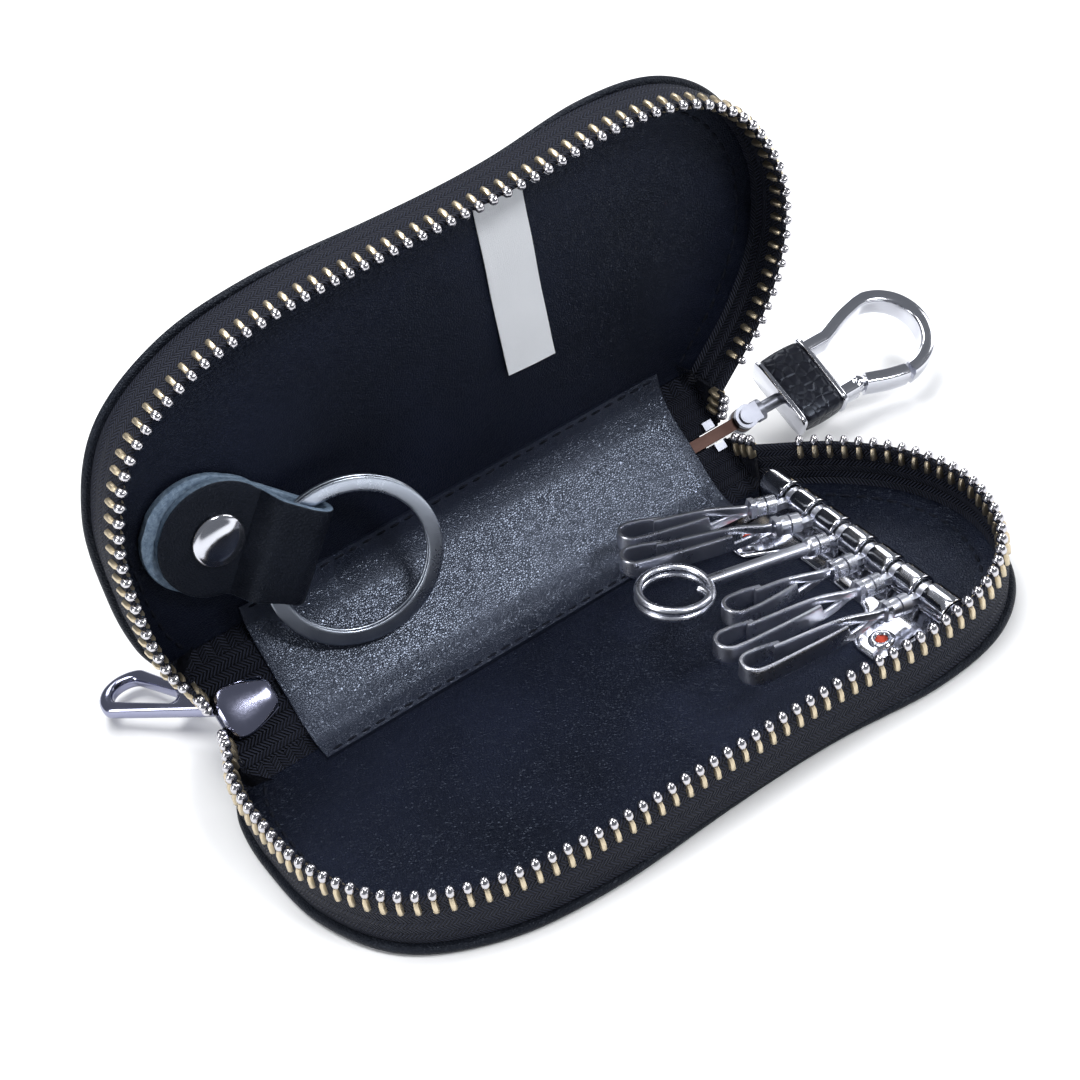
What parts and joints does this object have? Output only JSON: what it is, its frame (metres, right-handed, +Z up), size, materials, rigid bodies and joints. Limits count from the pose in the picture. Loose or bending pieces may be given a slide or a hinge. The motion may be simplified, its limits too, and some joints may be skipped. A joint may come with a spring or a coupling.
{
  "type": "key case",
  "caption": "Open zip-around leather key case with a hinged row of swivelling key hooks, a strapped key ring and a swivel snap hook.",
  "frame": {"origin": "middle of the lower half's resting face: mid length, and half a depth in front of the lower fold's line", "axes": "+X along the spine towards the snap hook, +Y from the lower half towards the spine, +Z up from the resting face"},
  "size_m": [0.1488, 0.0899, 0.0712],
  "materials": {
    "leather": "fine-grained, semi-matte",
    "strap_leather": "smooth, semi-matte, raw edges",
    "lining": "smooth, soft sheen",
    "board": "stiffener board, hidden",
    "tape": "woven herringbone",
    "teeth": "polished",
    "chrome": "mirror plated",
    "steel": "polished steel",
    "copper": "copper plated",
    "label": "blank woven label"
  },
  "bodies": {
    "base": {"leather_lower": "leather", "board_lower": "board", "zip_tape_lower": "tape", "lining_lower": "lining", "zip_teeth_lower": "teeth", "key_row_plate": "chrome", "row_barrel": "chrome", "plate_rivets": "copper", "hook_rod": "chrome"},
    "spine": {"leather_spine": "leather", "lining_spine": "lining", "zip_tape_ends": "tape", "zip_tape_bends": "tape", "zip_teeth_bends": "teeth", "zip_stop": "teeth", "slider_body": "chrome", "end_lug": "copper"},
    "lid": {"leather_upper": "leather", "board_upper": "board", "zip_tape_upper": "tape", "lining_upper": "lining", "zip_teeth_upper": "teeth", "blank_label": "label", "stud_post": "chrome"},
    "strap": {"ring_strap": "strap_leather", "stud_cap": "chrome"},
    "ring": {"key_ring": "steel"},
    "pull": {"zip_pull": "chrome"},
    "yoke": {"swivel_yoke": "chrome", "yoke_pin": "chrome"},
    "snap": {"snap_block": "chrome", "block_band": "leather", "snap_bow": "chrome"},
    "gate": {"snap_gate": "chrome"},
    "link_1": {"hook_link_1": "chrome"},
    "hook_1": {"clip_hook_1": "chrome"},
    "latch_1": {"latch_1": "chrome"},
    "link_2": {"hook_link_2": "chrome"},
    "hook_2": {"clip_hook_2": "chrome"},
    "latch_2": {"latch_2": "chrome"},
    "link_3": {"hook_link_3": "chrome"},
    "hook_3": {"round_hook": "chrome"},
    "link_4": {"hook_link_4": "chrome"},
    "hook_4": {"clip_hook_4": "chrome"},
    "latch_4": {"latch_4": "chrome"},
    "link_5": {"hook_link_5": "chrome"},
    "hook_5": {"clip_hook_5": "chrome"},
    "latch_5": {"latch_5": "chrome"},
    "link_6": {"hook_link_6": "chrome"},
    "hook_6": {"clip_hook_6": "chrome"},
    "latch_6": {"latch_6": "chrome"}
  },
  "joints": [
    {"name": "spine_fold", "type": "hinge", "parent": "base", "child": "spine", "pos_m": [0, 0.027, 0.0007], "axis": [-1, 0, 0], "range_deg": [-46, 24], "deforming": ["zip_tape_bends", "zip_teeth_bends"]},
    {"name": "lid_fold", "type": "hinge", "parent": "spine", "child": "lid", "pos_m": [0, 0.04254, 0.01571], "axis": [-1, 0, 0], "range_deg": [-46, 24]},
    {"name": "strap_turn", "type": "hinge", "parent": "lid", "child": "strap", "pos_m": [-0.04307, 0.04144, 0.03576], "axis": [0, 0.9994, -0.0349], "range_deg": [-36.5, 19]},
    {"name": "ring_tip", "type": "hinge", "parent": "strap", "child": "ring", "pos_m": [-0.03429, 0.03647, 0.02955], "axis": [-0.5878, -0.0282, -0.8085], "range_deg": [0, 4]},
    {"name": "pull_swing", "type": "hinge", "parent": "spine", "child": "pull", "pos_m": [-0.04928, 0.03784, 0.00502], "axis": [1, 0, 0], "range_deg": [-122, 44]},
    {"name": "hook_yoke_turn", "type": "hinge", "parent": "spine", "child": "yoke", "pos_m": [0.04512, 0.03393, 0.00907], "axis": [0, 0.6947, -0.7193], "range_deg": [-18, 18]},
    {"name": "hook_swivel", "type": "hinge", "parent": "yoke", "child": "snap", "pos_m": [0.05062, 0.03393, 0.00907], "axis": [1, 0, 0], "continuous": true},
    {"name": "gate_open", "type": "hinge", "parent": "snap", "child": "gate", "pos_m": [0.06471, 0.02949, 0.0067], "axis": [0, -0.4695, 0.8829], "range_deg": [0, 25], "stiffness_Nm_per_rad": 0.004, "springref_deg": -14.32},
    {"name": "swing_1", "type": "hinge", "parent": "base", "child": "link_1", "pos_m": [0.04071, 0.01504, 0.0059], "axis": [0, 1, 0], "range_deg": [0, 110]},
    {"name": "turn_1", "type": "hinge", "parent": "link_1", "child": "hook_1", "pos_m": [0.03639, 0.01605, 0.00666], "axis": [-0.9596, 0.225, 0.1692], "continuous": true},
    {"name": "latch_open_1", "type": "hinge", "parent": "hook_1", "child": "latch_1", "pos_m": [0.03209, 0.01627, 0.00742], "axis": [0.1736, 0, 0.9848], "range_deg": [0, 5], "stiffness_Nm_per_rad": 0.0005, "springref_deg": -5.73},
    {"name": "swing_2", "type": "hinge", "parent": "base", "child": "link_2", "pos_m": [0.04071, 0.00876, 0.0059], "axis": [0, 1, 0], "range_deg": [0, 110]},
    {"name": "turn_2", "type": "hinge", "parent": "link_2", "child": "hook_2", "pos_m": [0.03639, 0.00977, 0.00666], "axis": [-0.9596, 0.225, 0.1692], "continuous": true},
    {"name": "latch_open_2", "type": "hinge", "parent": "hook_2", "child": "latch_2", "pos_m": [0.03209, 0.00999, 0.00742], "axis": [0.1736, 0, 0.9848], "range_deg": [0, 5], "stiffness_Nm_per_rad": 0.0005, "springref_deg": -5.73},
    {"name": "swing_3", "type": "hinge", "parent": "base", "child": "link_3", "pos_m": [0.04071, 0.00247, 0.0059], "axis": [0, 1, 0], "range_deg": [0, 110]},
    {"name": "turn_3", "type": "hinge", "parent": "link_3", "child": "hook_3", "pos_m": [0.0363, 0.00294, 0.00668], "axis": [-0.9794, 0.1045, 0.1727], "range_deg": [-15, 15]},
    {"name": "swing_4", "type": "hinge", "parent": "base", "child": "link_4", "pos_m": [0.04071, -0.00382, 0.0059], "axis": [0, 1, 0], "range_deg": [0, 110]},
    {"name": "turn_4", "type": "hinge", "parent": "link_4", "child": "hook_4", "pos_m": [0.03628, -0.00374, 0.00668], "axis": [-0.9847, 0.0175, 0.1736], "continuous": true},
    {"name": "latch_open_4", "type": "hinge", "parent": "hook_4", "child": "latch_4", "pos_m": [0.03203, -0.00443, 0.00743], "axis": [0.1736, 0, 0.9848], "range_deg": [0, 5], "stiffness_Nm_per_rad": 0.0005, "springref_deg": -5.73},
    {"name": "swing_5", "type": "hinge", "parent": "base", "child": "link_5", "pos_m": [0.04071, -0.01011, 0.0059], "axis": [0, 1, 0], "range_deg": [0, 110]},
    {"name": "turn_5", "type": "hinge", "parent": "link_5", "child": "hook_5", "pos_m": [0.03628, -0.01003, 0.00668], "axis": [-0.9847, 0.0175, 0.1736], "continuous": true},
    {"name": "latch_open_5", "type": "hinge", "parent": "hook_5", "child": "latch_5", "pos_m": [0.03203, -0.01072, 0.00743], "axis": [0.1736, 0, 0.9848], "range_deg": [0, 5], "stiffness_Nm_per_rad": 0.0005, "springref_deg": -5.73},
    {"name": "swing_6", "type": "hinge", "parent": "base", "child": "link_6", "pos_m": [0.04071, -0.01639, 0.0059], "axis": [0, 1, 0], "range_deg": [0, 110]},
    {"name": "turn_6", "type": "hinge", "parent": "link_6", "child": "hook_6", "pos_m": [0.03628, -0.01631, 0.00668], "axis": [-0.9847, 0.0175, 0.1736], "continuous": true},
    {"name": "latch_open_6", "type": "hinge", "parent": "hook_6", "child": "latch_6", "pos_m": [0.03203, -0.01701, 0.00743], "axis": [0.1736, 0, 0.9848], "range_deg": [0, 5], "stiffness_Nm_per_rad": 0.0005, "springref_deg": -5.73}
  ],
  "couplings": [
    {"joint": "lid_fold", "follows": "spine_fold", "ratio": 1},
    {"joint": "strap_turn", "follows": "spine_fold", "ratio": 0.78261}
  ]
}
